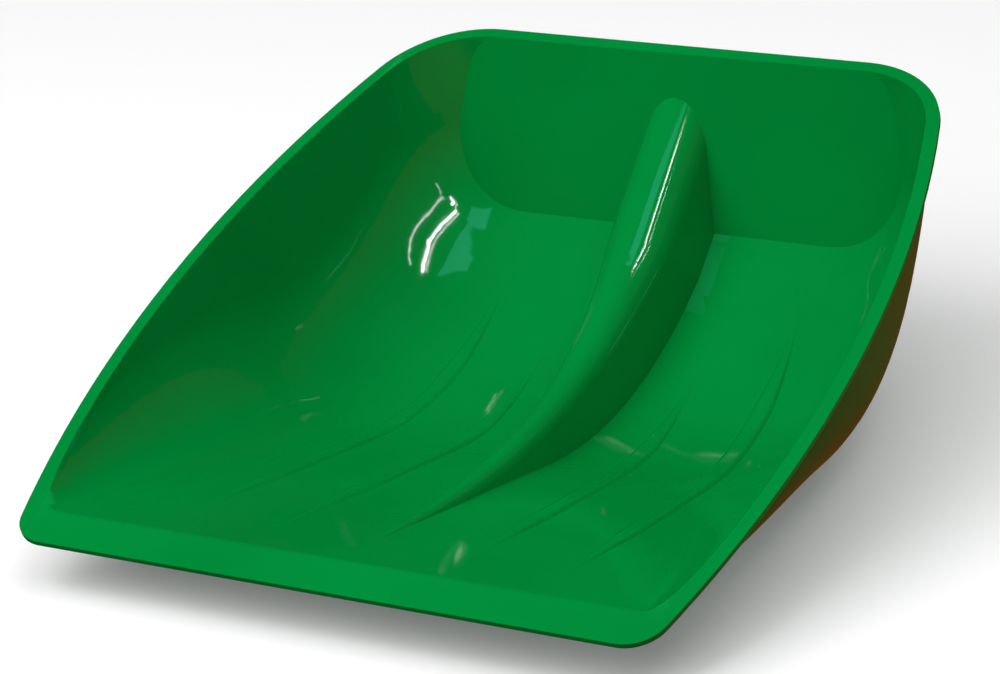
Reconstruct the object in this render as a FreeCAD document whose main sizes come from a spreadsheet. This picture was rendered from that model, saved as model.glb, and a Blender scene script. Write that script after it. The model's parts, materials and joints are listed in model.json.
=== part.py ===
"""Snow shovel blade: a moulded scoop with a flat rim, a handle tunnel and four floor ribs.

The pieces are drawn in the rim frame: X to the right, Y from the front edge to the back, Z up from
the flat rim, with the origin at the middle of the front edge. At the end every piece is tipped by
the same rest angle, so that the belly stands on the ground below the origin.
"""
import FreeCAD, Part
import math
import os
import re

import Sketcher

SIZES = [
    ("max_width", 420.0, "widest distance across the rim"),
    ("side_radius", 735.0, "radius of each bowed side of the rim, seen from above"),
    ("widest_at", 184.0, "distance from the front edge to the widest point"),
    ("rim_length", 445.5, "front edge to back edge, along the rim"),
    ("front_corner", 21.0, "radius of the front corners of the rim"),
    ("rear_corner", 63.0, "radius of the rear corners of the rim"),
    ("corner_flare", 22.0, "growth of the rear corners' radius below the rim, degrees"),
    ("flange_width", 7.6, "width of the flat rim along the sides and the back"),
    ("lip_depth", 20.8, "depth of the flat lip along the front"),
    ("flange_thick", 2.8, "thickness of the rim and the lip"),
    ("wall", 2.8, "thickness of the scoop's walls"),
    ("front_slope", 28.0, "fall of the front floor below the rim plane, degrees"),
    ("rear_slope", 21.5, "rise of the rear floor, degrees"),
    ("belly_radius", 185.0, "radius that joins the front floor to the rear floor"),
    ("back_height", 101.3, "height of the back wall along its own slope"),
    ("back_lean", 30.0, "lean of the back wall from the rim's normal, degrees"),
    ("side_draft", 12.0, "lean of the side walls, degrees"),
    ("floor_fillet", 78.0, "radius between the floor and the walls"),
    ("front_fillet", 14.0, "what that radius shrinks to at the front of the mouth"),
    ("handle_tilt", 23.0, "rise of the handle axis from the rim plane, degrees"),
    ("tunnel_radius", 20.8, "outer radius of the tunnel's arched top"),
    ("tunnel_wall", 2.6, "thickness of the tunnel"),
    ("tunnel_draft", 12.0, "flare of the tunnel's legs, degrees"),
    ("tunnel_drop", 25.5, "back wall above the tunnel's crest, along the wall's slope"),
    ("bend_at", 90.0, "length of the tunnel's straight part, from the back wall"),
    ("nose_slope", 23.5, "fall of the tunnel's nose below the rim plane, degrees"),
    ("nose_start", 51.2, "distance from the front edge to the tip of the nose"),
    ("nose_tip", 1.4, "radius of the tip of the nose"),
    ("nose_front", 7.0, "radius of the tunnel where the straight nose ends"),
    ("nose_middle", 11.0, "radius of the tunnel in the middle of its bend"),
    ("socket_wall", 2.0, "thickness of the handle socket's sleeve"),
    ("socket_out", 4.0, "reach of the socket's mouth behind the tunnel's crest"),
    ("stop_thick", 2.5, "thickness of the disc that closes the socket"),
    ("web_thick", 2.2, "thickness of the webs under the socket"),
    ("web_first", 57.0, "back wall's crest to the rear web, along the socket"),
    ("web_pitch", 14.0, "distance between the webs"),
    ("screw_at", 20.0, "back wall's crest to the handle's screw, along the socket"),
    ("screw_radius", 2.3, "radius of the hole for the handle's screw"),
    ("boss_radius", 5.5, "radius of the boss round the screw hole"),
    ("boss_height", 5.0, "height of the boss below the sleeve"),
    ("rib_height", 1.6, "height of the floor ribs"),
    ("rib_width", 12.0, "width of the floor ribs at their widest"),
    ("rib_point", 70.0, "length of the pointed ends of the ribs"),
    ("rib_front", 52.0, "distance from the front edge to the ribs' front tips"),
    ("inner_rib_offset", 57.0, "middle plane to the front tips of the inner ribs"),
    ("inner_rib_taper", 8.0, "inward run of each inner rib from front to back"),
    ("inner_rib_gap", 85.0, "rear tips of the inner ribs to the foot of the back wall"),
    ("outer_rib_offset", 112.5, "middle plane to the front tips of the outer ribs"),
    ("outer_rib_taper", 19.0, "inward run of each outer rib from front to back"),
    ("outer_rib_gap", 35.0, "rear tips of the outer ribs to the foot of the back wall"),
    ("rest_tilt", 18.5, "how far the front hangs down when the belly is on the ground, degrees"),
    ("over", 60.0, "reach of a construction body past the faces that trim it"),
    ("deep", 190.0, "reach of a construction body below the rim"),
]

doc = FreeCAD.newDocument("snow_shovel")
sheet = doc.addObject("Spreadsheet::Sheet", "Sizes")
for row, (alias, value, meaning) in enumerate(SIZES, start=1):
    sheet.set(f"A{row}", meaning)
    sheet.set(f"B{row}", str(value))
    sheet.setAlias(f"B{row}", alias)
doc.recompute()

# The steepness that parts the walls from the floors, and the slack when two levels are compared.
STEEP = 0.5
SLACK = 0.01

SIDES = (("right", ""), ("left", "-"))
WEBS = (("rear", 0), ("middle", 1), ("front", 2))

ALIASES = re.compile(r"\b(" + "|".join(alias for alias, _, _ in SIZES) + r")\b")

# Places that several pieces share, written with the sheet's aliases.
SIDE_CENTRE = "(side_radius - max_width / 2)"
HALF_SWEEP = "asin((rim_length + over) / side_radius)"
REAR_INNER = "(rim_length - flange_width)"
MOUTH_RADIUS = "(side_radius - flange_width)"
MOUTH_CORNER = "(rear_corner - flange_width)"
CREST_Y = f"({REAR_INNER} - tunnel_drop * sin(back_lean))"
CREST_Z = "(-tunnel_drop * cos(back_lean))"
CREASE_Y = f"({REAR_INNER} - back_height * sin(back_lean))"
CREASE_Z = "(-back_height * cos(back_lean))"
LIP_SPLIT = "(lip_depth + flange_thick / tan(front_slope))"
BORE_RADIUS = "(tunnel_radius - tunnel_wall - socket_wall)"
SLEEVE_RADIUS = "(tunnel_radius - tunnel_wall)"
SOCKET_END = "(bend_at - stop_thick)"
SCREW_END = "(3 * tunnel_radius)"
LEGS = "(back_height - tunnel_drop)"
FAR = "(3 * over)"


def cells(text):
    """An expression with the sheet's name put before each alias."""
    return ALIASES.sub(r"Sizes.\1", str(text))


def number(text):
    """What an expression is worth now."""
    return float(sheet.evalExpression(cells(text)))


# ---------------------------------------------------------------- sketches and simple bodies

def new_body(name):
    return doc.addObject("PartDesign::Body", name)


def origin_plane(body, role):
    return next(part for part in body.Origin.OriginFeatures if part.Role == role)


def new_sketch(body, name, role):
    sketch = body.newObject("Sketcher::SketchObject", name)
    sketch.AttachmentSupport = (origin_plane(body, role), [""])
    sketch.MapMode = "FlatFace"
    return sketch


def shift_sketch(sketch, axis, angle, x="0", y="0", z="0"):
    """Moves a sketch in its own plane's frame and turns it about one of that frame's axes."""
    sketch.AttachmentOffset = FreeCAD.Placement(
        FreeCAD.Vector(number(x), number(y), number(z)), FreeCAD.Rotation(axis, number(angle)))
    for direction, text in (("x", x), ("y", y), ("z", z)):
        sketch.setExpression(f"AttachmentOffset.Base.{direction}", cells(text))
    sketch.setExpression("AttachmentOffset.Rotation.Angle", cells(angle))


def pin_point(sketch, geometry, end, x, y):
    """Ties a point of a sketch to two expressions, or to an axis where one of them is zero."""
    for kind, axis, text in (("DistanceX", -2, x), ("DistanceY", -1, y)):
        if text == "0":
            sketch.addConstraint(Sketcher.Constraint("PointOnObject", geometry, end, axis))
        else:
            index = sketch.addConstraint(
                Sketcher.Constraint(kind, -1, 1, geometry, end, number(text)))
            sketch.setExpression(f"Constraints[{index}]", cells(text))


def add_polygon(sketch, corners):
    """A closed polygon whose corners are pairs of expressions."""
    points = [FreeCAD.Vector(number(x), number(y), 0) for x, y in corners]
    for start, end in zip(points, points[1:] + points[:1]):
        sketch.addGeometry(Part.LineSegment(start, end))
    count = len(corners)
    for index, (x, y) in enumerate(corners):
        sketch.addConstraint(Sketcher.Constraint("Coincident", index, 2, (index + 1) % count, 1))
        pin_point(sketch, index, 1, x, y)


def add_circle(sketch, x, y, radius):
    index = sketch.addGeometry(
        Part.Circle(FreeCAD.Vector(number(x), number(y), 0), FreeCAD.Vector(0, 0, 1), number(radius)))
    pin_point(sketch, index, 3, x, y)
    bound = sketch.addConstraint(Sketcher.Constraint("Radius", index, number(radius)))
    sketch.setExpression(f"Constraints[{bound}]", cells(radius))


def add_pad(body, sketch, length, both_ways=False, backwards=False):
    pad = body.newObject("PartDesign::Pad", f"{body.Name}_pad")
    pad.Profile = sketch
    pad.setExpression("Length", cells(length))
    if both_ways:
        pad.SideType = "Symmetric"
    pad.Reversed = backwards
    doc.recompute()
    return pad


def side_prism(name, corners):
    """A prism across the whole width, from a polygon in the middle plane (Y, Z)."""
    body = new_body(name)
    sketch = new_sketch(body, f"{name}_side", "YZ_Plane")
    add_polygon(sketch, corners)
    add_pad(body, sketch, "max_width + 2 * over", both_ways=True)
    return body


def fillet_edges(body, name, radius, wanted):
    """Rounds the edges of a body's solid that the test picks out."""
    base = body.Tip
    names = [f"Edge{index}" for index, edge in enumerate(base.Shape.Edges, start=1) if wanted(edge)]
    fillet = body.newObject("PartDesign::Fillet", name)
    fillet.Base = (base, names)
    fillet.setExpression("Radius", cells(radius))
    doc.recompute()
    return fillet


def round_unevenly(name, base, radius_at, wanted):
    """Rounds the edges that the test picks out, with a radius that depends on the place."""
    radii = []
    for index, edge in enumerate(base.Shape.Edges, start=1):
        if wanted(edge):
            ends = [edge.valueAt(at) for at in (edge.FirstParameter, edge.LastParameter)]
            radii.append((index, *map(radius_at, ends)))
    rounded = doc.addObject("Part::Fillet", name)
    rounded.Base = base
    rounded.Edges = radii
    doc.recompute()
    return rounded


def outside_wall(body, name, centre_x, centre_y, radius, start):
    """A sketch of what lies outside a drafted round wall, to be turned about the wall's axis.

    The wall is a cone about an upright axis. Its radius is the one at the rim's level.
    """
    sketch = new_sketch(body, name, "XZ_Plane")
    shift_sketch(sketch, FreeCAD.Vector(0, 1, 0), start, x=centre_x, z=f"-{centre_y}")
    add_polygon(sketch, [
        (f"{radius} + over * tan(side_draft)", "over"),
        (f"{radius} - deep * tan(side_draft)", "-deep"),
        (f"{radius} + {FAR}", "-deep"),
        (f"{radius} + {FAR}", "over"),
    ])
    return sketch


def turn_sketch(body, kind, sketch, sweep):
    feature = body.newObject(f"PartDesign::{kind}", f"{sketch.Name}_turned")
    feature.Profile = sketch
    feature.ReferenceAxis = (sketch, ["V_Axis"])
    feature.setExpression("Angle", cells(sweep))
    doc.recompute()


def sector_start(side, start, sweep):
    """The start angle of a sector on the right, or of its mirror image on the left."""
    return start if side == "right" else f"180 deg - ({start}) - ({sweep})"


def is_floor_edge(edge, solid, top):
    """True for an edge where a wall rises from the floor of a solid that is open at the top."""
    floor, wall = sorted(solid.ancestorsOfType(edge, Part.Face), key=lambda face: face.BoundBox.ZMax)
    return floor.BoundBox.ZMin < edge.BoundBox.ZMin + SLACK and wall.BoundBox.ZMax > top - SLACK \
        and edge.BoundBox.ZMin < top - SLACK and steepness(wall, edge) > STEEP > steepness(floor, edge)


def steepness(face, edge):
    """How far a face stands up at the middle of an edge: 0 when it is level, 1 when upright."""
    middle = edge.valueAt((edge.FirstParameter + edge.LastParameter) / 2)
    u, v = face.Surface.parameter(middle)
    return 1 - abs(face.normalAt(u, v).z)


def boolean(kind, name, *shapes):
    """A chain of Part booleans of one kind; the last one has the given name."""
    result = shapes[0]
    for index, tool in enumerate(shapes[1:], start=1):
        last = index == len(shapes) - 1
        step = doc.addObject(f"Part::{kind}", name if last else f"{name}_step_{index}")
        step.Base = result
        step.Tool = tool
        result = step
    doc.recompute()
    return result


# ---------------------------------------------------------------- shapes that trim the pieces

def back_plane(level, behind="0"):
    """Y of the back wall's inner face at a level, or of a face behind it by a thickness."""
    return f"{REAR_INNER} + ({level}) * tan(back_lean) + ({behind}) / cos(back_lean)"


def trough(name, grow):
    """The hollow of the scoop, grown by a thickness on all its walls.

    It runs on past the rim and past the back wall, where other shapes trim it.
    """
    body = new_body(name)
    sketch = new_sketch(body, f"{name}_floor", "YZ_Plane")
    front_y = "(lip_depth - flange_width)"
    front_z = f"(lip_depth * tan(front_slope) - ({grow}) / cos(front_slope))"
    rear_z = f"({CREASE_Z} - {CREASE_Y} * tan(rear_slope) - ({grow}) / cos(rear_slope))"
    low_y = f"({front_z} - {rear_z}) / (tan(front_slope) + tan(rear_slope))"
    low_z = f"{front_z} - {low_y} * tan(front_slope)"
    end_y = f"({REAR_INNER} + ({grow}) / cos(side_draft))"
    end_z = f"({rear_z} + {end_y} * tan(rear_slope)) / (1 - tan(rear_slope) * tan(side_draft))"
    add_polygon(sketch, [(front_y, "over"), (front_y, f"{front_z} - {front_y} * tan(front_slope)"),
                         (low_y, low_z),
                         (f"{end_y} + {end_z} * tan(side_draft)", end_z),
                         (f"{end_y} + over * tan(side_draft)", "over")])
    add_pad(body, sketch, "max_width + 2 * over", both_ways=True)
    lowest = body.Tip.Shape.BoundBox.ZMin
    fillet_edges(body, f"{name}_belly", f"belly_radius + ({grow})",
                 lambda edge: edge.BoundBox.ZMax < lowest + SLACK)
    for side, sign in SIDES:
        sketch = outside_wall(body, f"{name}_{side}", f"{sign}(-{SIDE_CENTRE})", "widest_at",
                              f"{MOUTH_RADIUS} + ({grow}) / cos(side_draft)",
                              sector_start(side, f"-{HALF_SWEEP}", f"2 * {HALF_SWEEP}"))
        turn_sketch(body, "Groove", sketch, f"2 * {HALF_SWEEP}")
    top = number("over")
    behind = number(CREASE_Y)
    lip = number("lip_depth")
    mouth = number(f"{MOUTH_CORNER} + ({grow})")
    flare = number("tan(corner_flare)")
    full = number(f"floor_fillet + ({grow})")
    least = number(f"front_fillet + ({grow})")
    cornered = round_unevenly(
        f"{name}_corners", body, lambda point: mouth - point.z * flare,
        lambda edge: edge.BoundBox.ZMax > top - SLACK and edge.BoundBox.ZLength > SLACK
        and edge.BoundBox.YMin > behind)
    return round_unevenly(
        f"{name}_round", cornered, lambda point: least if point.y < lip else full,
        lambda edge: is_floor_edge(edge, cornered.Shape, top) and edge.BoundBox.YMax > lip)


def rim_plate(name):
    """The flat plate that the rim and the lip are cut from."""
    body = new_body(name)
    sketch = new_sketch(body, f"{name}_outline", "XY_Plane")
    half = "(max_width / 2 + over)"
    add_polygon(sketch, [(f"-{half}", "0"), (half, "0"), (half, "rim_length"),
                         (f"-{half}", "rim_length")])
    add_pad(body, sketch, "flange_thick", backwards=True)
    for side, sign in SIDES:
        sketch = new_sketch(body, f"{name}_{side}", "XZ_Plane")
        shift_sketch(sketch, FreeCAD.Vector(0, 1, 0),
                     sector_start(side, f"-{HALF_SWEEP}", f"2 * {HALF_SWEEP}"),
                     x=f"{sign}(-{SIDE_CENTRE})", z="-widest_at")
        add_polygon(sketch, [("side_radius", "over"), ("side_radius", "-over"),
                             (f"side_radius + {FAR}", "-over"), (f"side_radius + {FAR}", "over")])
        turn_sketch(body, "Groove", sketch, f"2 * {HALF_SWEEP}")
    for place, y in (("front", "0"), ("rear", "rim_length")):
        level = number(y)
        fillet_edges(body, f"{name}_{place}", f"{place}_corner",
                     lambda edge: edge.BoundBox.ZLength > SLACK and edge.BoundBox.YLength < SLACK
                     and abs(edge.BoundBox.YMin - level) < SLACK)
    return body


# ---------------------------------------------------------------- the handle tunnel

def station(body, name, y, z, tilt, radius, inset):
    """An arched section of the tunnel: a round top with two flared legs.

    The sketch's origin is on the crest, and its plane stands square to the crest's slope.
    """
    sketch = new_sketch(body, name, "XZ_Plane")
    shift_sketch(sketch, FreeCAD.Vector(1, 0, 0), tilt, y=z, z=f"-({y})")
    arch = number(f"({radius}) - ({inset})")
    centre = -number(radius)
    flare = number("tunnel_draft")
    legs = number(LEGS)
    turn = FreeCAD.Rotation(FreeCAD.Vector(0, 0, 1), flare)
    shoulder = turn.multVec(FreeCAD.Vector(arch, 0, 0)) + FreeCAD.Vector(0, centre, 0)
    along = turn.multVec(FreeCAD.Vector(0, -1, 0))
    foot = shoulder + along * ((shoulder.y + legs) / -along.y)
    left_shoulder, left_foot = (FreeCAD.Vector(-point.x, point.y, 0) for point in (shoulder, foot))
    top = FreeCAD.Vector(0, centre + arch, 0)
    sketch.addGeometry(Part.LineSegment(foot, shoulder))
    sketch.addGeometry(Part.Arc(shoulder, top, left_shoulder))
    sketch.addGeometry(Part.LineSegment(left_shoulder, left_foot))
    sketch.addGeometry(Part.LineSegment(left_foot, foot))
    sketch.addConstraint(Sketcher.Constraint("Tangent", 0, 2, 1, 1))
    sketch.addConstraint(Sketcher.Constraint("Tangent", 1, 2, 2, 1))
    sketch.addConstraint(Sketcher.Constraint("Coincident", 2, 2, 3, 1))
    sketch.addConstraint(Sketcher.Constraint("Coincident", 3, 2, 0, 1))
    sketch.addConstraint(Sketcher.Constraint("Symmetric", 3, 1, 3, 2, -2))
    pin_point(sketch, 1, 3, "0", f"-({radius})")
    for kind, where, text in (("Radius", (1,), f"({radius}) - ({inset})"),
                              ("DistanceY", (-1, 1, 0, 1), f"-({LEGS})"),
                              ("Angle", (0,), "90 deg + tunnel_draft * 1 deg")):
        index = sketch.addConstraint(Sketcher.Constraint(kind, *where, radians_or_size(kind, text)))
        sketch.setExpression(f"Constraints[{index}]", cells(text))
    return sketch


def radians_or_size(kind, text):
    """A sketch takes an angle in radians and a size in millimetres."""
    amount = number(text)
    return math.radians(amount) if kind == "Angle" else amount


def tunnel(name, inset):
    """The tunnel's solid, or its hollow when it is inset by the tunnel's thickness.

    From front to back it is a straight nose, a bend and a straight arch along the handle.
    """
    body = new_body(name)
    nose_z = "((lip_depth - nose_start) * tan(front_slope))"
    bend_y = f"({CREST_Y} - bend_at * cos(handle_tilt))"
    bend_z = f"({CREST_Z} - bend_at * sin(handle_tilt))"
    meet_y = (f"(({nose_z} + nose_start * tan(nose_slope) - {bend_z} + {bend_y} * tan(handle_tilt))"
              " / (tan(nose_slope) + tan(handle_tilt)))")
    run = f"(({bend_y} - {meet_y}) / cos(handle_tilt))"
    meet_z = f"({bend_z} - {run} * sin(handle_tilt))"
    radius = f"({run} / tan((handle_tilt + nose_slope) / 2))"
    turn = "((handle_tilt - nose_slope) / 2)"
    front = (f"{meet_y} - {run} * cos(nose_slope)", f"{meet_z} + {run} * sin(nose_slope)")
    middle = (f"{bend_y} - {radius} * (sin(handle_tilt) - sin({turn}))",
              f"{bend_z} + {radius} * (cos(handle_tilt) - cos({turn}))")
    places = [
        ("bend", bend_y, bend_z, "handle_tilt", "tunnel_radius"),
        ("middle", *middle, turn, "nose_middle"),
        ("front", *front, "-nose_slope", "nose_front"),
    ]
    if inset == "0":
        places.append(("tip", "nose_start", nose_z, "-nose_slope", "nose_tip"))
    sections = [station(body, f"{name}_{place}", y, z, tilt, size, inset)
                for place, y, z, tilt, size in places]
    loft = body.newObject("PartDesign::AdditiveLoft", f"{name}_nose")
    loft.Profile = sections[0]
    loft.Sections = sections[1:]
    doc.recompute()
    add_pad(body, sections[0], "bend_at + over", backwards=True)
    return body


def handle_sketch(body, name, along):
    """A sketch square to the handle, a distance forward of the back wall's crest."""
    sketch = new_sketch(body, name, "XZ_Plane")
    shift_sketch(sketch, FreeCAD.Vector(1, 0, 0), "handle_tilt",
                 y=f"{CREST_Z} - ({along}) * sin(handle_tilt)",
                 z=f"-({CREST_Y} - ({along}) * cos(handle_tilt))")
    return sketch


def handle_disc(name, along, length, outer, inner=None):
    """A round solid on the handle's axis, with a hole through it if an inner radius is given."""
    body = new_body(name)
    sketch = handle_sketch(body, f"{name}_ring", along)
    for radius in (outer, inner) if inner else (outer,):
        add_circle(sketch, "0", "-tunnel_radius", radius)
    add_pad(body, sketch, length)
    return body


def screw_cylinder(name, radius, top, bottom):
    """A cylinder across the handle's axis at the screw, between two depths below the crest."""
    cylinder = doc.addObject("Part::Cylinder", name)
    cylinder.setExpression("Radius", cells(radius))
    cylinder.setExpression("Height", cells(f"{bottom} - {top}"))
    cylinder.Placement = FreeCAD.Placement(
        FreeCAD.Vector(0, 0, 0), FreeCAD.Rotation(FreeCAD.Vector(1, 0, 0), number("handle_tilt")))
    cylinder.setExpression("Placement.Rotation.Angle", cells("handle_tilt"))
    cylinder.setExpression("Placement.Base.y", cells(
        f"{CREST_Y} - screw_at * cos(handle_tilt) + ({bottom}) * sin(handle_tilt)"))
    cylinder.setExpression("Placement.Base.z", cells(
        f"{CREST_Z} - screw_at * sin(handle_tilt) - ({bottom}) * cos(handle_tilt)"))
    return cylinder


def rib_outline(name, side_sign, offset, taper, length):
    """An upright prism over a floor rib: a long strip with pointed ends, seen from above."""
    body = new_body(name)
    sketch = new_sketch(body, f"{name}_outline", "XY_Plane")
    shift_sketch(sketch, FreeCAD.Vector(0, 0, 1), "0 deg", z="-deep")

    def corner(share, aside):
        x = f"({offset} - {taper} * ({share}) + ({aside}))"
        return f"{side_sign}{x}", f"rib_front + {length} * ({share})"

    point = f"rib_point / {length}"
    half = "rib_width / 2"
    add_polygon(sketch, [corner("0", "0"), corner(point, half), corner(f"1 - {point}", half),
                         corner("1", "0"), corner(f"1 - {point}", f"-{half}"),
                         corner(point, f"-{half}")])
    add_pad(body, sketch, "deep")
    return body


# ---------------------------------------------------------------- shared construction solids

inner_trough = trough("inner_trough", "0")
outer_trough = trough("outer_trough", "wall")
raised_trough = trough("raised_trough", "-rib_height")
outer_tunnel = tunnel("outer_tunnel", "0")
inner_tunnel = tunnel("inner_tunnel", "tunnel_wall")
rim = rim_plate("rim")

ahead_of_back = side_prism("ahead_of_back", [
    ("-over", "over"), (back_plane("over"), "over"), (back_plane("-deep"), "-deep"), ("-over", "-deep")])
pan_room = side_prism("pan_room", [
    ("-over", "-flange_thick"), (back_plane("-flange_thick"), "-flange_thick"),
    (back_plane("-deep"), "-deep"), ("-over", "-deep")])
back_slab = side_prism("back_slab", [
    (back_plane("-flange_thick"), "-flange_thick"),
    (back_plane("-flange_thick", "wall"), "-flange_thick"),
    (back_plane("-deep", "wall"), "-deep"), (back_plane("-deep"), "-deep")])
tunnel_room = side_prism("tunnel_room", [
    ("-over", "-flange_thick"), (back_plane("-flange_thick", "wall"), "-flange_thick"),
    (back_plane("-deep", "wall"), "-deep"), ("-over", "-deep")])
lip_room = side_prism("lip_room", [
    ("-over", "-over"), (LIP_SPLIT, "-over"), (LIP_SPLIT, "over"), ("-over", "over")])
mouth = boolean("Common", "mouth", inner_trough, ahead_of_back)

# ---------------------------------------------------------------- the pieces

pieces = []


def piece(name, shape):
    """Names a finished piece; its label is the name of its file."""
    shape.Label = name
    pieces.append(shape)


open_rim = boolean("Cut", "open_rim", rim, mouth)
piece("front_lip", boolean("Common", "front_lip_shape", open_rim, lip_room))
piece("rim_flange", boolean("Cut", "rim_flange_shape", open_rim, lip_room))

shell = boolean("Cut", "shell", outer_trough, inner_trough)
pan = boolean("Common", "whole_pan", shell, pan_room)
piece("scoop_pan", boolean("Cut", "scoop_pan_shape", pan, outer_tunnel))
wall_plate = boolean("Common", "wall_plate", outer_trough, back_slab)
piece("back_wall", boolean("Cut", "back_wall_shape", wall_plate, outer_tunnel))

tunnel_shell = boolean("Cut", "tunnel_shell", outer_tunnel, inner_tunnel)
tunnel_limits = boolean("Common", "tunnel_limits", outer_trough, tunnel_room)
piece("handle_tunnel", boolean("Common", "handle_tunnel_shape", tunnel_shell, tunnel_limits))

sleeve = handle_disc("sleeve", "-socket_out", f"{SOCKET_END} + socket_out", SLEEVE_RADIUS, BORE_RADIUS)
screw_hole = screw_cylinder("screw_hole", "screw_radius", "tunnel_radius", SCREW_END)
piece("handle_socket", boolean("Cut", "handle_socket_shape", sleeve, screw_hole))
piece("socket_end_stop", handle_disc("socket_end_stop_shape", SOCKET_END, "stop_thick", SLEEVE_RADIUS))

solid_sleeve = handle_disc("solid_sleeve", "-socket_out", "bend_at + socket_out + over", SLEEVE_RADIUS)
boss = screw_cylinder("boss", "boss_radius", "tunnel_radius",
                      "tunnel_radius * 2 - tunnel_wall + boss_height")
piece("screw_boss", boolean("Cut", "screw_boss_shape", boss, solid_sleeve, screw_hole))

web_room = boolean("Common", "web_room", inner_tunnel, tunnel_limits)
for place, steps in WEBS:
    slab = new_body(f"{place}_web_slab")
    web_sketch = handle_sketch(slab, f"{place}_web_sketch", f"web_first + {steps} * web_pitch")
    add_polygon(web_sketch, [("-over", "-tunnel_radius"), ("over", "-tunnel_radius"),
                             ("over", "-deep"), ("-over", "-deep")])
    add_pad(slab, web_sketch, "web_thick")
    part = boolean("Common", f"{place}_web_part", slab, web_room)
    piece(f"{place}_web", boolean("Cut", f"{place}_web_shape", part, solid_sleeve))

rib_layer = boolean("Cut", "rib_layer", inner_trough, raised_trough)
for place in ("inner", "outer"):
    for side, sign in SIDES:
        outline = rib_outline(f"{side}_{place}_rib_prism", sign, f"{place}_rib_offset",
                              f"{place}_rib_taper", f"({CREASE_Y} - {place}_rib_gap - rib_front)")
        part = boolean("Common", f"{side}_{place}_rib_shape", outline, rib_layer)
        piece(f"{side}_{place}_rib", part)

# ---------------------------------------------------------------- at rest on the belly

tilt = FreeCAD.Placement(FreeCAD.Vector(0, 0, 0),
                         FreeCAD.Rotation(FreeCAD.Vector(1, 0, 0), number("rest_tilt")))
doc.recompute()
tipped = [part.Shape.transformed(tilt.toMatrix(), True).optimalBoundingBox(False) for part in pieces]
ground = min(box.ZMin for box in tipped)
middle_y = (min(box.YMin for box in tipped) + max(box.YMax for box in tipped)) / 2
rest = FreeCAD.Placement(FreeCAD.Vector(0, -middle_y, -ground), tilt.Rotation)
for part in pieces:
    part.Placement = rest
doc.recompute()

for item in doc.Objects:
    if any(state in item.State for state in ("Invalid", "Error")):
        raise RuntimeError(f"{item.Name} failed: {item.State}")
for part in pieces:
    if part.Shape.isNull() or not part.Shape.isValid() or not part.Shape.Solids:
        raise RuntimeError(f"{part.Label} has no valid solid")

os.makedirs("parts", exist_ok=True)
for part in pieces:
    part.Shape.exportStep(f"parts/{part.Label}.step")
    print(f"{part.Label}: {len(part.Shape.Solids)} solid, {part.Shape.Volume:.0f} mm3")
print(f"rest placement: {rest.Base}, tilt {number('rest_tilt')}")
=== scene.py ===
"""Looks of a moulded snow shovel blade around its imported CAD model."""
import json
import math

import bmesh
import bpy
from mathutils import Matrix, Vector
from mathutils.bvhtree import BVHTree


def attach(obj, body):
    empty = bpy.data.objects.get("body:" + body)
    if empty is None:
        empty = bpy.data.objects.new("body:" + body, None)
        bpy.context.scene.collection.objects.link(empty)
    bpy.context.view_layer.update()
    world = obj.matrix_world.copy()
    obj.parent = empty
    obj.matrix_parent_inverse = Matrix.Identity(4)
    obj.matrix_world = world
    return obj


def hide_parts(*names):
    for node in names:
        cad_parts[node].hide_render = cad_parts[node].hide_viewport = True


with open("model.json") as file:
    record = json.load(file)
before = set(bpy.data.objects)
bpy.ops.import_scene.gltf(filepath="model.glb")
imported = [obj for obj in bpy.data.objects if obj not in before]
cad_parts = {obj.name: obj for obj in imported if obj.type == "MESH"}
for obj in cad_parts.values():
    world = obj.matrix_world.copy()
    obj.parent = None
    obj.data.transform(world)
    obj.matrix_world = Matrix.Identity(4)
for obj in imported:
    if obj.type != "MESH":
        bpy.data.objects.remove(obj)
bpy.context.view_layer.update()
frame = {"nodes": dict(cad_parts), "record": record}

# ---------------------------------------------------------------- node helpers


def new_material(name):
    material = bpy.data.materials.new(name)
    material.use_nodes = True
    material.node_tree.nodes.clear()
    return material, material.node_tree


def add(tree, kind, **settings):
    node = tree.nodes.new(kind)
    for key, value in settings.items():
        if key in node.inputs:
            node.inputs[key].default_value = value
        else:
            setattr(node, key, value)
    return node


def join(tree, source, socket, target, name):
    tree.links.new(source.outputs[socket], target.inputs[name])


def ramp(tree, source, socket, stops):
    node = tree.nodes.new("ShaderNodeValToRGB")
    while len(node.color_ramp.elements) < len(stops):
        node.color_ramp.elements.new(0.5)
    for element, (place, value) in zip(node.color_ramp.elements, stops):
        element.position = place
        element.color = value if len(value) == 4 else (*value, 1.0)
    join(tree, source, socket, node, "Fac")
    return node


def grey(value):
    return (value, value, value, 1.0)


def mix(tree, blend, factor, first, second):
    """A colour mix; each input is a colour or a (node, socket) pair."""
    node = tree.nodes.new("ShaderNodeMix")
    node.data_type = "RGBA"
    node.blend_type = blend
    for index, value in ((0, factor), (6, first), (7, second)):
        if isinstance(value, tuple) and len(value) == 2 and hasattr(value[0], "outputs"):
            tree.links.new(value[0].outputs[value[1]], node.inputs[index])
        else:
            node.inputs[index].default_value = value
    return node


# Roughness of the plastic where it is clearest and haziest, and what a rubbing mark adds.
SMOOTHEST = 0.04
DULLEST = 0.0675
RUBBED_ROUGHNESS = 0.22


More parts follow.
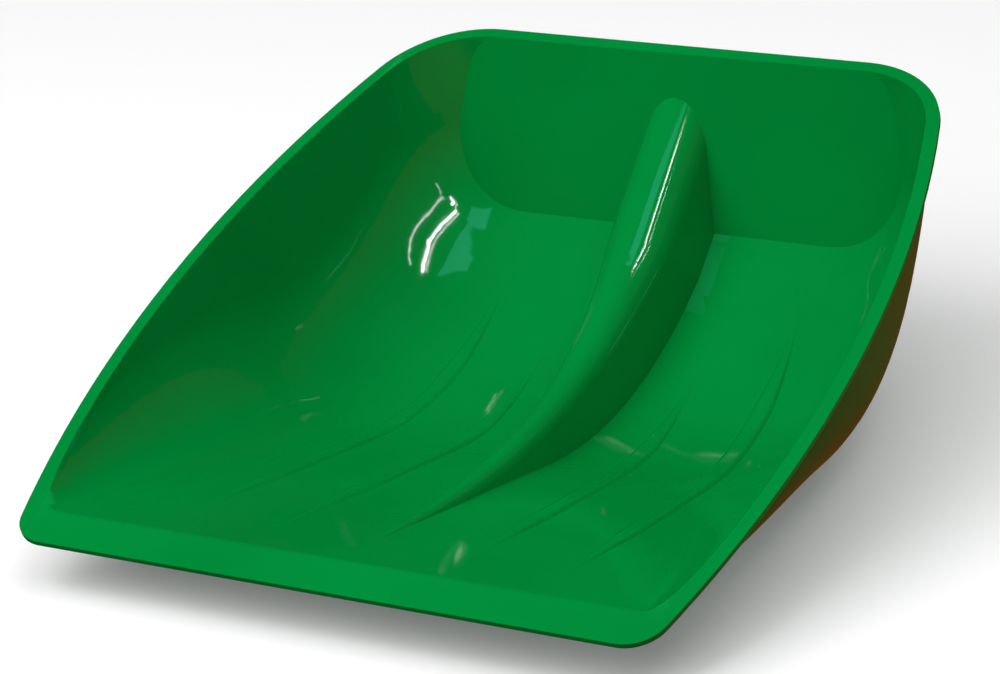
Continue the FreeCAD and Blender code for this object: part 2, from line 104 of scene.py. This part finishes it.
def plastic(name, colour, deep, worn_colour=None):
    """Glossy moulded plastic with uneven pigment, fine texture and hairline rubbing marks.

    If a worn colour is given, convex edges take it on in part.
    """
    material, tree = new_material(name)
    out = add(tree, "ShaderNodeOutputMaterial")
    shader = add(tree, "ShaderNodeBsdfPrincipled")
    shader.inputs["IOR"].default_value = 1.5
    shader.inputs["Specular IOR Level"].default_value = 0.5
    shader.inputs["Coat Weight"].default_value = 0.0
    join(tree, shader, "BSDF", out, "Surface")
    place = add(tree, "ShaderNodeTexCoord")

    cloud = add(tree, "ShaderNodeTexNoise", Scale=9.0, Detail=4.0, Roughness=0.55)
    join(tree, place, "Object", cloud, "Vector")
    tint = ramp(tree, cloud, "Fac", [(0.32, (*deep, 1.0)), (0.62, (*colour, 1.0))])

    haze = add(tree, "ShaderNodeTexNoise", Scale=38.0, Detail=6.0, Roughness=0.6)
    join(tree, place, "Object", haze, "Vector")
    gloss = add(tree, "ShaderNodeMapRange")
    gloss.inputs["From Min"].default_value = 0.3
    gloss.inputs["From Max"].default_value = 0.75
    gloss.inputs["To Min"].default_value = SMOOTHEST
    gloss.inputs["To Max"].default_value = DULLEST
    join(tree, haze, "Fac", gloss, "Value")

    # Hairline rubbing marks, roughly along the blade's length, seen only in the gloss.
    stretch = add(tree, "ShaderNodeMapping", Scale=(900.0, 14.0, 60.0), Rotation=(0.0, 0.0, 0.06))
    join(tree, place, "Object", stretch, "Vector")
    hair = add(tree, "ShaderNodeTexNoise", Scale=1.0, Detail=3.0, Roughness=0.7)
    join(tree, stretch, "Vector", hair, "Vector")
    marks = ramp(tree, hair, "Fac", [(0.66, grey(0.0)), (0.74, grey(1.0))])
    patches = add(tree, "ShaderNodeTexNoise", Scale=11.0, Detail=2.0)
    join(tree, place, "Object", patches, "Vector")
    where = ramp(tree, patches, "Fac", [(0.45, grey(0.0)), (0.65, grey(1.0))])
    rubbed = add(tree, "ShaderNodeMath", operation="MULTIPLY")
    join(tree, marks, "Color", rubbed, 0)
    join(tree, where, "Color", rubbed, 1)
    rough = add(tree, "ShaderNodeMath", operation="MULTIPLY_ADD")
    rough.inputs[1].default_value = RUBBED_ROUGHNESS
    join(tree, rubbed, "Value", rough, 0)
    join(tree, gloss, "Result", rough, 2)
    join(tree, rough, "Value", shader, "Roughness")

    if worn_colour is None:
        join(tree, tint, "Color", shader, "Base Color")
    else:
        # Convex edges are a little paler where they have been knocked.
        shape = add(tree, "ShaderNodeNewGeometry")
        edge = ramp(tree, shape, "Pointiness", [(0.53, grey(0.0)), (0.60, grey(1.0))])
        chips = add(tree, "ShaderNodeTexNoise", Scale=160.0, Detail=3.0)
        join(tree, place, "Object", chips, "Vector")
        worn = add(tree, "ShaderNodeMath", operation="MULTIPLY")
        join(tree, edge, "Color", worn, 0)
        join(tree, chips, "Fac", worn, 1)
        pale = mix(tree, "MIX", (worn, "Value"), (tint, "Color"), (*worn_colour, 1.0))
        tree.links.new(pale.outputs[2], shader.inputs["Base Color"])

    peel = add(tree, "ShaderNodeTexNoise", Scale=420.0, Detail=2.0)
    join(tree, place, "Object", peel, "Vector")
    bump = add(tree, "ShaderNodeBump", Strength=0.02, Distance=0.0002)
    join(tree, peel, "Fac", bump, "Height")
    wave = add(tree, "ShaderNodeTexNoise", Scale=14.0, Detail=1.0)
    join(tree, place, "Object", wave, "Vector")
    sag = add(tree, "ShaderNodeBump", Strength=0.012, Distance=0.0004)
    join(tree, wave, "Fac", sag, "Height")
    join(tree, bump, "Normal", sag, "Normal")
    join(tree, sag, "Normal", shader, "Normal")
    return material


GREEN = (0.0004, 0.245, 0.040)
GREEN_DEEP = (0.0003, 0.222, 0.034)
GREEN_WORN = (0.010, 0.300, 0.070)

green = plastic("green_plastic_moulded", GREEN, GREEN_DEEP)
knocked = plastic("green_plastic_knocked", GREEN, GREEN_DEEP, GREEN_WORN)
for node in frame["nodes"].values():
    node.data.materials.clear()
    node.data.materials.append(green)

# ---------------------------------------------------------------- pieces that stand for CAD nodes

MOUNTS = {mount["name"]: mount for mount in frame["record"]["mounts"]}
RIM_UP = Vector(MOUNTS["lip_top"]["axis"])
RIM_BACK = Vector((1, 0, 0)).cross(RIM_UP) * -1

# Distances in metres: vertices closer than these are one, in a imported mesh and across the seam.
MERGE = 2e-6
SEAM_MERGE = 1e-5

BEVEL = 0.0008
BEVEL_STEPS = 4
FLAT_WITHIN = math.radians(0.5)
SHARP_FROM = math.radians(50)
FACES_SEAM = 0.99


def finish_piece(name, bm, nodes):
    """Turns a bmesh into a piece that rides with the blade and stands for CAD nodes."""
    mesh = bpy.data.meshes.new(name)
    bm.to_mesh(mesh)
    bm.free()
    mesh.materials.append(knocked)
    for polygon in mesh.polygons:
        polygon.use_smooth = True
    piece = bpy.data.objects.new(name, mesh)
    bpy.context.scene.collection.objects.link(piece)
    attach(piece, "root")
    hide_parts(*nodes)
    return piece


def rim_moulding():
    """The lip and the flange as one plate with softly rounded edges."""
    bm = bmesh.new()
    for name, end in (("front_lip", 1), ("rim_flange", -1)):
        part = bmesh.new()
        part.from_mesh(frame["nodes"][name].data)
        bmesh.ops.remove_doubles(part, verts=part.verts, dist=MERGE)
        seam = max(end * vertex.co.dot(RIM_BACK) for vertex in part.verts)
        hidden = [face for face in part.faces if end * face.normal.dot(RIM_BACK) > FACES_SEAM
                  and all(end * v.co.dot(RIM_BACK) > seam - SEAM_MERGE for v in face.verts)]
        bmesh.ops.delete(part, geom=hidden, context="FACES")
        kept = bpy.data.meshes.new("kept")
        part.to_mesh(kept)
        part.free()
        bm.from_mesh(kept)
        bpy.data.meshes.remove(kept)
    bmesh.ops.remove_doubles(bm, verts=bm.verts, dist=SEAM_MERGE)
    bmesh.ops.dissolve_limit(bm, angle_limit=FLAT_WITHIN, verts=bm.verts, edges=bm.edges)
    sharp = [edge for edge in bm.edges if len(edge.link_faces) == 2
             and edge.calc_face_angle() > SHARP_FROM]
    bmesh.ops.bevel(bm, geom=sharp, offset=BEVEL, offset_type="OFFSET", segments=BEVEL_STEPS,
                    profile=0.5, affect="EDGES", clamp_overlap=True)
    piece = finish_piece("rim_moulding", bm, ("front_lip", "rim_flange"))
    weighted = piece.modifiers.new("flat_faces", "WEIGHTED_NORMAL")
    weighted.keep_sharp = True
    weighted.weight = 100


rim_moulding()

pan = frame["nodes"]["scoop_pan"].data
pan_tree = BVHTree.FromPolygons([vertex.co.copy() for vertex in pan.vertices],
                                [polygon.vertices[:] for polygon in pan.polygons])
RIB_HALF_WIDTH = 0.006
RIB_POINT = 0.070
RIB_HEIGHT = 0.0013
RIB_ROOT = 0.0004
RIB_LEAST_HALF = 1e-5
RIB_SHOULDER = 0.42
RIB_EDGE_SINK = 0.2
ABOVE = 0.2
ALONG = 120
ACROSS = 14


def soft_step(t):
    t = max(0.0, min(1.0, t))
    return t * t * (3 - 2 * t)


def rib_relief(node):
    """A low rounded rib with pointed ends that follows the floor of the pan.

    The top and the underside are grids dropped onto the pan, and the sides close them.
    """
    corners = [vertex.co for vertex in frame["nodes"][node].data.vertices]
    front = min(corners, key=lambda co: co.dot(RIM_BACK))
    rear = max(corners, key=lambda co: co.dot(RIM_BACK))
    run = rear - front
    length = run.dot(RIM_BACK)
    bm = bmesh.new()
    layers = []
    for lift in (True, False):
        grid = []
        for i in range(ALONG + 1):
            share = i / ALONG
            reach = min(share, 1 - share) * length
            half = RIB_HALF_WIDTH * min(1.0, reach / RIB_POINT) + RIB_LEAST_HALF
            row = []
            for j in range(ACROSS + 1):
                v = 2 * j / ACROSS - 1
                start = front + run * share + Vector((v * half, 0, 0)) + RIM_UP * ABOVE
                place, normal, _, _ = pan_tree.ray_cast(start, -RIM_UP)
                if normal.dot(RIM_UP) < 0:
                    normal = -normal
                shoulder = soft_step((1 - abs(v)) / RIB_SHOULDER)
                height = -RIB_ROOT
                if lift:
                    height = RIB_HEIGHT * shoulder * soft_step(half / RIB_HALF_WIDTH)
                if lift and j in (0, ACROSS):
                    height = -RIB_ROOT * RIB_EDGE_SINK
                row.append(bm.verts.new(place + normal * height))
            grid.append(row)
        layers.append(grid)
    top, under = layers
    for i in range(ALONG):
        for j in range(ACROSS):
            bm.faces.new((top[i][j], top[i][j + 1], top[i + 1][j + 1], top[i + 1][j]))
            bm.faces.new((under[i][j], under[i + 1][j], under[i + 1][j + 1], under[i][j + 1]))
    for i in range(ALONG):
        bm.faces.new((top[i][0], top[i + 1][0], under[i + 1][0], under[i][0]))
        bm.faces.new((top[i][-1], under[i][-1], under[i + 1][-1], top[i + 1][-1]))
    for j in range(ACROSS):
        bm.faces.new((top[0][j], under[0][j], under[0][j + 1], top[0][j + 1]))
        bm.faces.new((top[-1][j], top[-1][j + 1], under[-1][j + 1], under[-1][j]))
    bmesh.ops.recalc_face_normals(bm, faces=bm.faces)
    finish_piece(f"{node}_relief", bm, (node,))


for node in ("left_outer_rib", "left_inner_rib", "right_inner_rib", "right_outer_rib"):
    rib_relief(node)

# ---------------------------------------------------------------- floor, lights, camera

floor_mesh = bpy.data.meshes.new("floor")
REACH = 6.0
floor_mesh.from_pydata(
    [(-REACH, -REACH, 0), (REACH, -REACH, 0), (REACH, REACH, 0), (-REACH, REACH, 0)],
    [], [(0, 1, 2, 3)])
floor = bpy.data.objects.new("floor", floor_mesh)
bpy.context.scene.collection.objects.link(floor)
floor_material, floor_tree = new_material("floor_pale")
floor_out = add(floor_tree, "ShaderNodeOutputMaterial")
floor_shader = add(floor_tree, "ShaderNodeBsdfPrincipled", Roughness=0.9)
floor_shader.inputs["Base Color"].default_value = grey(0.95)
floor_shader.inputs["Emission Color"].default_value = grey(1.0)
floor_shader.inputs["Emission Strength"].default_value = 0.14
join(floor_tree, floor_shader, "BSDF", floor_out, "Surface")
floor_mesh.materials.append(floor_material)
floor.visible_glossy = False
floor.visible_diffuse = False


def direction(azimuth, elevation):
    """A unit vector away from the blade; azimuth 0 is in front and 90 is on the right."""
    a, e = math.radians(azimuth), math.radians(elevation)
    return Vector((math.sin(a) * math.cos(e), -math.cos(a) * math.cos(e), math.sin(e)))


LIGHT_TARGET = Vector((0, 0, 0.08))


def area_light(name, azimuth, elevation, distance, width, height, power, colour=(1, 1, 1)):
    """A rectangular light that looks at the blade from a direction."""
    away = direction(azimuth, elevation)
    data = bpy.data.lights.new(name, "AREA")
    data.shape = "RECTANGLE"
    data.size = width
    data.size_y = height
    data.energy = power
    data.color = colour
    light = bpy.data.objects.new(name, data)
    light.location = LIGHT_TARGET + away * distance
    light.rotation_mode = "QUATERNION"
    light.rotation_quaternion = (-away).to_track_quat("-Z", "Y")
    bpy.context.scene.collection.objects.link(light)
    return light


def rays(light, diffuse, glossy):
    """Says which rays meet a light: the soft ones colour the blade, the glossy ones mirror in it."""
    light.visible_diffuse = diffuse
    light.visible_glossy = glossy
    light.visible_camera = False


rays(area_light("key", -34, 46, 3.0, 2.6, 2.6, 72), True, False)
rays(area_light("fill", 70, 70, 3.0, 2.6, 2.6, 40), True, False)
rays(area_light("window_bright", 64, 57.5, 2.2, 0.040, 0.55, 3.6), False, True)
rays(area_light("window_left_pane", 60, 60, 2.2, 0.012, 0.55, 0.7), False, True)
rays(area_light("window_frame", 76, 45, 2.2, 0.010, 0.75, 1.1), False, True)
rays(area_light("sky_card", 8, 70, 2.6, 0.9, 0.5, 2.4, (0.15, 1.0, 0.9)), False, True)

# The world lights the blade softly in white. What mirrors in the blade is green, with a brown
# patch low down behind it and a warm one low down on its right.
world = bpy.data.worlds.new("studio")
world.use_nodes = True
sky = world.node_tree
sky.nodes.clear()
sky_out = add(sky, "ShaderNodeOutputWorld")
sky_mix = add(sky, "ShaderNodeMixShader")
sky_soft = add(sky, "ShaderNodeBackground", Strength=0.25)
sky_mirrored = add(sky, "ShaderNodeBackground", Strength=0.5)
sky_rays = add(sky, "ShaderNodeLightPath")
sky_place = add(sky, "ShaderNodeTexCoord")
sky_parts = add(sky, "ShaderNodeSeparateXYZ")
join(sky, sky_place, "Generated", sky_parts, "Vector")
sky_level = add(sky, "ShaderNodeMapRange")
sky_level.inputs["From Min"].default_value = -1.0
join(sky, sky_parts, "Z", sky_level, "Value")
sky_tone = ramp(sky, sky_level, "Result", [(0.30, (0.03, 0.10, 0.02)), (0.42, (0.0, 0.28, 0.045)),
                                           (0.55, (0.0, 0.36, 0.06)), (0.95, (0.0, 0.46, 0.12))])
sky_ground = ramp(sky, sky_level, "Result", [(0.30, grey(1.0)), (0.42, grey(0.0))])
sky_behind = ramp(sky, sky_parts, "Y", [(0.2, grey(0.0)), (0.5, grey(1.0))])
sky_brown = add(sky, "ShaderNodeMath", operation="MULTIPLY")
join(sky, sky_ground, "Color", sky_brown, 0)
join(sky, sky_behind, "Color", sky_brown, 1)
sky_floor = mix(sky, "MIX", (sky_brown, "Value"), (sky_tone, "Color"), (0.20, 0.075, 0.013, 1.0))
sky_white = ramp(sky, sky_parts, "Z", [(0.0, grey(0.35)), (0.06, grey(1.0))])
join(sky, sky_white, "Color", sky_soft, "Color")
sky_side = ramp(sky, sky_parts, "X", [(0.12, grey(0.0)), (0.34, grey(1.0))])
sky_low = ramp(sky, sky_parts, "Z", [(0.15, grey(1.0)), (0.75, grey(0.0))])
sky_warm = add(sky, "ShaderNodeMath", operation="MULTIPLY")
join(sky, sky_side, "Color", sky_warm, 0)
join(sky, sky_low, "Color", sky_warm, 1)
sky_colour = mix(sky, "MIX", (sky_warm, "Value"), (sky_floor, 2), (0.36, 0.16, 0.02, 1.0))
sky.links.new(sky_colour.outputs[2], sky_mirrored.inputs["Color"])
join(sky, sky_rays, "Is Glossy Ray", sky_mix, 0)
join(sky, sky_soft, "Background", sky_mix, 1)
join(sky, sky_mirrored, "Background", sky_mix, 2)
join(sky, sky_mix, "Shader", sky_out, "Surface")
bpy.context.scene.world = world
bpy.context.scene.view_settings.view_transform = "Standard"

CAMERA_AZIMUTH = 32.14
CAMERA_ELEVATION = 22.83
CAMERA_ROLL = -6.0
CAMERA_DISTANCE = 2.142
CAMERA_TARGET = Vector((-0.0331, 0.0313, 0.060))
camera_data = bpy.data.cameras.new("camera")
camera_data.sensor_width = 36.0
camera_data.lens = 140.76
camera = bpy.data.objects.new("camera", camera_data)
back = direction(CAMERA_AZIMUTH, CAMERA_ELEVATION)
roll = Matrix.Rotation(math.radians(CAMERA_ROLL), 4, "Z")
turn = (-back).to_track_quat("-Z", "Y").to_matrix().to_4x4() @ roll
camera.matrix_world = Matrix.Translation(CAMERA_TARGET + back * CAMERA_DISTANCE) @ turn
bpy.context.scene.collection.objects.link(camera)
bpy.context.scene.camera = camera
